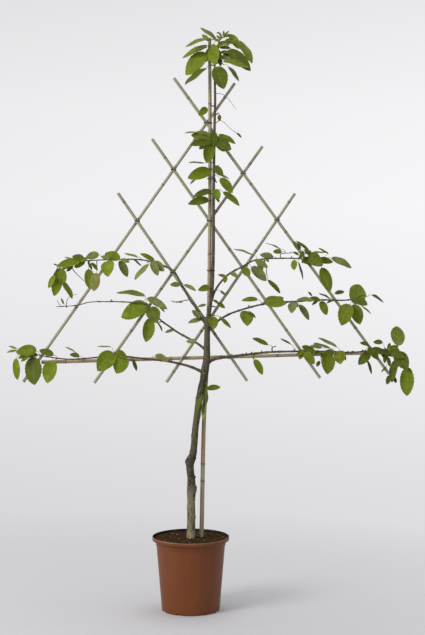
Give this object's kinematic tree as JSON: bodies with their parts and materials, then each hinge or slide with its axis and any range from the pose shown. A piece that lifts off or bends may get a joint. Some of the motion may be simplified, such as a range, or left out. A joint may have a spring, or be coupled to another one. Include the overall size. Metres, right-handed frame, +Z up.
{
  "type": "potted espalier fruit tree",
  "caption": "Young sweet cherry trained flat into tiers of arms on a lattice of bamboo canes, with drooping leaves, in a round tapered plastic nursery pot of compost",
  "frame": {"origin": "centre of the pot's flat underside", "axes": "+Z up, +X along the flat of the espalier to the right as seen from its front, +Y towards its back, where the canes stand"},
  "size_m": [1.2786, 0.24, 1.8056],
  "materials": {
    "pot": "satin terracotta-brown moulded plastic",
    "soil": "damp dark compost with pale granules",
    "bark": "rough olive-grey to grey-brown bark",
    "cane": "weathered grey-tan bamboo",
    "cane_level": "weathered reddish-tan bamboo",
    "tie": "dark coated wire",
    "leaves": "soft green leaves with paler backs"
  },
  "bodies": {
    "root": {"pot": "pot", "soil": "soil", "trunk": "bark", "bough_left_high": "bark", "bough_left_low": "bark", "bough_left_middle": "bark", "bough_right_high": "bark", "bough_right_low": "bark", "bough_right_middle": "bark", "cane_fall_1": "cane", "cane_fall_2": "cane", "cane_fall_3": "cane", "cane_level": "cane_level", "cane_rise_1": "cane", "cane_rise_2": "cane", "cane_rise_3": "cane", "cane_upright": "cane", "tie_1": "tie", "tie_2": "tie", "tie_3": "tie", "tie_4": "tie", "tie_5": "tie", "tie_6": "tie", "tie_7": "tie", "tie_8": "tie", "tie_9": "tie", "tie_10": "tie", "tie_11": "tie", "tie_12": "tie", "tie_13": "tie", "tie_14": "tie", "tie_leader_1": "tie", "tie_leader_2": "tie", "foliage_crown_left": "leaves", "foliage_crown_low_left": "leaves", "foliage_crown_low_right": "leaves", "foliage_crown_right": "leaves", "foliage_crown_tip": "leaves", "foliage_left_high": "leaves", "foliage_left_low": "leaves", "foliage_left_middle": "leaves", "foliage_right_high": "leaves", "foliage_right_low": "leaves", "foliage_right_middle": "leaves", "foliage_spur_fork_left": "leaves", "foliage_spur_fork_right": "leaves", "foliage_spur_high_left": "leaves", "foliage_spur_high_right": "leaves", "foliage_spur_inner_left": "leaves", "foliage_spur_inner_right": "leaves", "foliage_spur_low_left": "leaves", "foliage_spur_low_right": "leaves", "foliage_spur_mid_left": "leaves", "foliage_spur_mid_right": "leaves", "foliage_spur_trunk": "leaves", "foliage_spur_upper_left": "leaves", "foliage_spur_upper_right": "leaves"}
  },
  "joints": []
}
